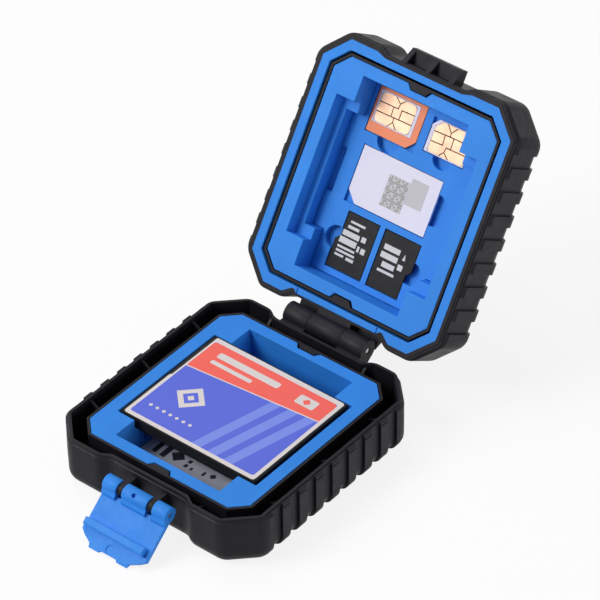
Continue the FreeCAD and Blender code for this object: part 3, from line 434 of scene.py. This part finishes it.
# Parting lines of the gold contact fields, in the lid's drawing frame
LINE_WIDTH = 0.3
LINE_DEPTH = 0.05
MICRO_LINES = (
    ((-13.9, 20.5), (-8.1, 20.55), (-8.0, 21.9), (-9.8, 23.3)),
    ((-8.0, 21.9), (-6.6, 23.3)),
    ((-13.9, 17.9), (-2.9, 18.1)),
    ((-9.5, 20.5), (-9.4, 18.0)),
    ((-6.9, 18.1), (-6.9, 20.55), (-2.9, 20.65)),
    ((-8.5, 18.0), (-8.3, 16.8), (-9.6, 15.2)),
    ((-8.3, 16.8), (-6.7, 15.2)),
)
NANO_LINES = (
    ((3.4, 19.5), (8.7, 19.75), (14.9, 19.8)),
    ((6.9, 22.5), (8.6, 20.7), (10.1, 22.5)),
    ((8.6, 20.7), (8.7, 19.6)),
    ((3.4, 16.85), (7.4, 17.05), (7.2, 19.5)),
    ((9.9, 19.6), (10.0, 16.9)),
    ((14.9, 16.9), (8.7, 16.8), (8.5, 15.5), (7.1, 14.0)),
    ((8.5, 15.5), (10.4, 14.0)),
)


def gold_contacts():
    """Gold contact plates cut into fields by thin sunken lines."""
    looks = [contact_gold, groove_brown]
    slot = "contact_gold"
    plate = rounded(-13.9, 15.32, -2.95, 23.18, 1.3)
    fields = [(loop, 1, -LINE_DEPTH) for loop in strokes(MICRO_LINES, LINE_WIDTH)]
    inlay("micro_sim_fields", "micro_sim", slot, "micro_sim_contacts", LID_POSE, plate, fields, looks)
    left, front, right, back = 3.8, 14.22, 14.76, 22.38
    middle_x, middle_y = 9.3, 18.3
    plate = rounded(left, front, right, back, 0.7)
    plate = [spot for spot in plate if spot[0] > middle_x or spot[1] < middle_y]
    plate += [(5.5, back), (left, 20.68)]
    plate.sort(key=lambda spot: math.atan2(spot[1] - middle_y, spot[0] - middle_x))
    fields = [(loop, 1, -LINE_DEPTH) for loop in strokes(NANO_LINES, LINE_WIDTH)]
    inlay("nano_sim_fields", "nano_sim", slot, "nano_sim_contacts", LID_POSE, plate, fields, looks)


def dot_field():
    """A field of small grey dots with gaps, without meaning, on the white phone card."""
    columns, column_pitch, dot_width, left = 11, 0.57, 0.46, -3.6
    rows, row_pitch, dot_height, front = 14, 0.58, 0.44, -3.5
    dots = []
    for row in range(rows):
        for column in range(columns):
            if (row * 7 + column * 5 + row * column) % 4 < 2:
                x = left + column_pitch * column
                y = front + row_pitch * row
                dots.append(box(x, y, x + dot_width, y + dot_height))
    return dots


def card_prints():
    """Plain printed patches and bars on the small cards and the medium card."""
    patches = [box(2.85, -0.75, 8.15, 6.2), box(-3.8, -3.65, 2.8, 4.8)]
    layers = [(patch_grey, PRINT_THICK, patches), (dot_grey, DOT_THICK, dot_field())]
    prints("standard_sim_print", "standard_sim", "sim_white", "standard_sim_card", LID_POSE, layers)
    bars = [
        box(-9.6, -11.0, -5.0, -10.4),
        box(-9.9, -12.5, -6.4, -11.7),
        box(-10.8, -14.6, -5.6, -13.2),
        box(-11.1, -16.7, -5.8, -15.1),
        box(-5.0, -14.4, -3.6, -13.0),
        box(-5.3, -17.2, -4.6, -15.7),
        box(-4.1, -17.3, -2.8, -15.8),
        box(-11.0, -18.0, -5.6, -17.4),
        box(-11.0, -19.1, -5.2, -18.5),
        box(-11.0, -20.2, -8.2, -19.6),
        box(-7.4, -20.4, -5.0, -19.6),
    ]
    layers = [(mark_pale, PRINT_THICK, bars)]
    node = "micro_memory_card_left"
    prints("micro_memory_print_left", "micro_card_left", "card_black", node, LID_POSE, layers)
    bars = [
        box(1.9, -13.2, 6.9, -11.8),
        box(1.7, -15.4, 6.9, -13.9),
        box(2.9, -17.6, 6.8, -16.2),
        box(2.2, -19.0, 7.4, -18.3),
        box(7.5, -16.7, 9.0, -15.2),
        [(8.0, -13.9), (9.0, -13.9), (8.5, -12.2)],
    ]
    layers = [(mark_pale, PRINT_THICK, bars)]
    node = "micro_memory_card_right"
    prints("micro_memory_print_right", "micro_card_right", "card_black", node, LID_POSE, layers)
    bars = [
        box(-13.4, -16.6, -12.0, -12.6),
        box(-10.8, -16.8, -9.2, -12.6),
        diamond(-6.6, -14.2, 2.1),
        box(-3.4, -16.4, -2.4, -15.2),
        box(-3.4, -14.6, -2.4, -13.4),
        box(-1.4, -16.4, -0.7, -15.4),
        box(2.2, -16.2, 2.9, -14.6),
        diamond(5.0, -14.8, 1.0),
    ]
    layers = [(mark_dark, PRINT_THICK, bars)]
    prints("medium_card_print", "medium_card", "medium_grey", "medium_card_body", BASE_POSE, layers)


# Faces that stay this near to a node's top, in millimetres, make up its flat top
FLAT_REACH = 0.02


def top_outline(name, pose):
    """Level and outer edge of a node's flat top, anticlockwise, in the frame it was drawn in."""
    back = pose.inverted()
    mesh = nodes[name].data
    spots = [(back @ spot.co) / MM for spot in mesh.vertices]
    places = [(round(spot.x, 3), round(spot.y, 3)) for spot in spots]
    top = max(spot.z for spot in spots)
    sides = {}
    for face in mesh.polygons:
        ring = list(face.vertices)
        if min(spots[index].z for index in ring) > top - FLAT_REACH:
            for start, end in zip(ring, ring[1:] + ring[:1]):
                sides[places[start], places[end]] = True
    following = {start: end for start, end in sides if (end, start) not in sides}
    loops = []
    while following:
        loop = [next(iter(following))]
        while loop[-1] in following:
            loop.append(following.pop(loop[-1]))
        loops.append([Vector(place) for place in loop[:-1]])
    return top, max(loops, key=lambda loop: max(spot.x for spot in loop))


# Sizes of the lid's lip, in millimetres
LIP_WIDTH = 0.9
LIP_WIDTH_AT_LATCH = 0.15
LATCH_HALF_WIDTH = 12.5
LIP_OVERLAP = 0.12
LIP_RISE = 0.03
LIP_BED = 0.2


def lid_lip():
    """The lid's black lip that laps over the outer border of the gasket, narrow at the latch."""
    top, edge = top_outline("lid_seal", LID_POSE)
    pairs = []
    for before, spot, after in zip(edge[-1:] + edge[:-1], edge, edge[1:] + edge[:1]):
        arrive = (spot - before).normalized()
        leave = (after - spot).normalized()
        first = Vector((-arrive.y, arrive.x))
        second = Vector((-leave.y, leave.x))
        inward = (first + second) / (1 + first.dot(second))
        width = LIP_WIDTH if abs(spot.x) > LATCH_HALF_WIDTH else LIP_WIDTH_AT_LATCH
        around = spot.cross(after - before) > 0
        pairs.append((spot - inward * LIP_OVERLAP, spot + inward * width, around))
    starts = [step for step in range(len(pairs)) if pairs[step][2] and not pairs[step - 1][2]]
    begin = starts[0] if starts else 0
    pairs = [pair for pair in pairs[begin:] + pairs[:begin] if pair[2]]
    outer = [pair[0] for pair in pairs]
    inner = [pair[1] for pair in pairs]
    shape = Shape([shell_black])
    rows = []
    low = top - LIP_BED
    high = top + LIP_RISE
    for loop, level in ((outer, low), (outer, high), (inner, high), (inner, low)):
        rows.append([shape.corner(spot.x, spot.y, level) for spot in loop])
    for row, upper in zip(rows, rows[1:] + rows[:1]):
        for step in range(len(outer) - 1):
            shape.face([row[step], row[step + 1], upper[step + 1], upper[step]])
    shape.face([row[0] for row in rows])
    shape.face([row[-1] for row in reversed(rows)])
    shape.place("lid_lip", "lid", "shell_black", LID_POSE)


def bar(shape, ring, front_y, back_y, side):
    """A straight bar along the case: an end view on the right side, or its mirror on the left."""
    front = [shape.corner(x * side, front_y, z) for x, z in ring]
    back = [shape.corner(x * side, back_y, z) for x, z in ring]
    faces = [front, back[::-1]]
    for step in range(len(ring)):
        beside = (step + 1) % len(ring)
        faces.append([front[beside], front[step], back[step], back[beside]])
    for face in faces:
        shape.face(face[::side])


# End views and places of the foot strips and of the grip ribs' upper ends, in millimetres
FOOT_FACE = ((29.0, 1.4), (30.15, 1.4), (30.15, 2.55))
FOOT_HALF_LENGTH = 25.0
RIB_FACE = ((30.9, 13.0), (31.95, 13.0), (31.95, 14.0), (31.75, 14.25), (30.9, 14.28))
RIB_HALF_WIDTH = 1.35
RIB_PITCH = 6.3
RIB_STEPS = range(-3, 4)


def wall_bars():
    """Strips along the inner foot of the long walls, and the upper ends of the grip ribs."""
    for side, tag in ((1, "right"), (-1, "left")):
        shape = Shape([shell_black])
        bar(shape, FOOT_FACE, -FOOT_HALF_LENGTH, FOOT_HALF_LENGTH, side)
        shape.place("base_foot_" + tag, "base", "shell_black", BASE_POSE)
        shape = Shape([shell_black])
        for step in RIB_STEPS:
            middle = RIB_PITCH * step
            bar(shape, RIB_FACE, middle - RIB_HALF_WIDTH, middle + RIB_HALF_WIDTH, side)
        shape.place("base_rib_ends_" + tag, "base", "shell_black", BASE_POSE)


# Share of the floor that glows white, its half side in metres, and the world's level as light
FLOOR_GLOW = 0.86
FLOOR_HALF = 3.0
WORLD_LIGHT = 0.16


def shown_rays(tree):
    """One for rays that show the surroundings: from the camera, reflected or passed through."""
    path = tree.nodes.new("ShaderNodeLightPath")
    shown = path.outputs["Is Camera Ray"]
    for kind in ("Is Glossy Ray", "Is Transmission Ray"):
        both = tree.nodes.new("ShaderNodeMath")
        both.operation = "MAXIMUM"
        tree.links.new(shown, both.inputs[0])
        tree.links.new(path.outputs[kind], both.inputs[1])
        shown = both.outputs[0]
    return shown


def plain_floor():
    """A wide pale floor that shows white to the camera and keeps a soft shadow."""
    tree = Tree("floor_white")
    speck = tree.noise(2.0, 2.0)
    tone = tree.blend(speck, (0.94, 0.94, 0.94, 1.0), (0.96, 0.96, 0.96, 1.0))
    tree.set(Base_Color=tone, Roughness=0.9, Specular_IOR_Level=0.1)
    glow = tree.add("ShaderNodeEmission", Color=(1, 1, 1, 1), Strength=1.0)
    share = tree.add("ShaderNodeMath", {"operation": "MULTIPLY"})
    tree.feed(share.inputs[0], shown_rays(tree.tree))
    share.inputs[1].default_value = FLOOR_GLOW
    mix = tree.add("ShaderNodeMixShader")
    tree.feed(mix.inputs[0], share.outputs[0])
    tree.feed(mix.inputs[1], tree.shader.outputs[0])
    tree.feed(mix.inputs[2], glow.outputs[0])
    tree.feed(tree.tree.nodes["Material Output"].inputs["Surface"], mix.outputs[0])
    mesh = bpy.data.meshes.new("floor")
    corners = [(x, y, 0.0) for x, y in box(-FLOOR_HALF, -FLOOR_HALF, FLOOR_HALF, FLOOR_HALF)]
    mesh.from_pydata(corners, [], [(0, 1, 2, 3)])
    mesh.materials.append(tree.material)
    floor = bpy.data.objects.new("floor", mesh)
    bpy.context.scene.collection.objects.link(floor)


def studio_world():
    """Even white surroundings: full white to the camera and in reflections, softer as light."""
    world = bpy.data.worlds.new("studio")
    bpy.context.scene.world = world
    world.use_nodes = True
    tree = world.node_tree
    ground = tree.nodes["Background"]
    ground.inputs["Color"].default_value = (1, 1, 1, 1)
    level = tree.nodes.new("ShaderNodeMapRange")
    level.inputs["To Min"].default_value = WORLD_LIGHT
    level.inputs["To Max"].default_value = 1.0
    tree.links.new(shown_rays(tree), level.inputs["Value"])
    tree.links.new(level.outputs[0], ground.inputs["Strength"])


# Name, place, aim and side in metres, and watts of each lamp
LAMPS = (
    ("key", (-0.65, -0.8, 0.9), (0, 0.02, 0.02), 0.7, 14.0),
    ("top", (-0.45, 0.2, 1.1), (0, 0.02, 0.02), 0.7, 4.5),
    ("side", (1.0, 0.12, 0.1), (0, 0.04, 0.03), 0.5, 5.0),
)


def soft_lamp(name, place, target, size, power):
    """A square soft box aimed at a point."""
    lamp = bpy.data.lights.new(name, "AREA")
    lamp.size = size
    lamp.energy = power
    obj = bpy.data.objects.new(name, lamp)
    obj.location = place
    obj.rotation_euler = (Vector(target) - Vector(place)).to_track_quat("-Z", "Y").to_euler()
    bpy.context.scene.collection.objects.link(obj)


def photo_camera():
    """The photograph's viewpoint, a long lens from the front right."""
    lens = bpy.data.cameras.new("camera")
    lens.sensor_width = 36.0
    lens.lens = 261.31
    lens.clip_start = 0.05
    obj = bpy.data.objects.new("camera", lens)
    right = Vector((0.776248, 0.630341, -0.010398))
    up = Vector((-0.395247, 0.499452, 0.770926))
    back = Vector((0.49114, -0.594321, 0.63684))
    place = Vector((0.529108, -0.614589, 0.71801))
    turn = Matrix((right, up, back)).transposed().to_4x4()
    obj.matrix_world = Matrix.Translation(place) @ turn
    bpy.context.scene.collection.objects.link(obj)
    bpy.context.scene.camera = obj


large_label()
gold_contacts()
card_prints()
lid_lip()
wall_bars()
plain_floor()
studio_world()
for lamp in LAMPS:
    soft_lamp(*lamp)
photo_camera()
bpy.context.scene.view_settings.view_transform = "Standard"
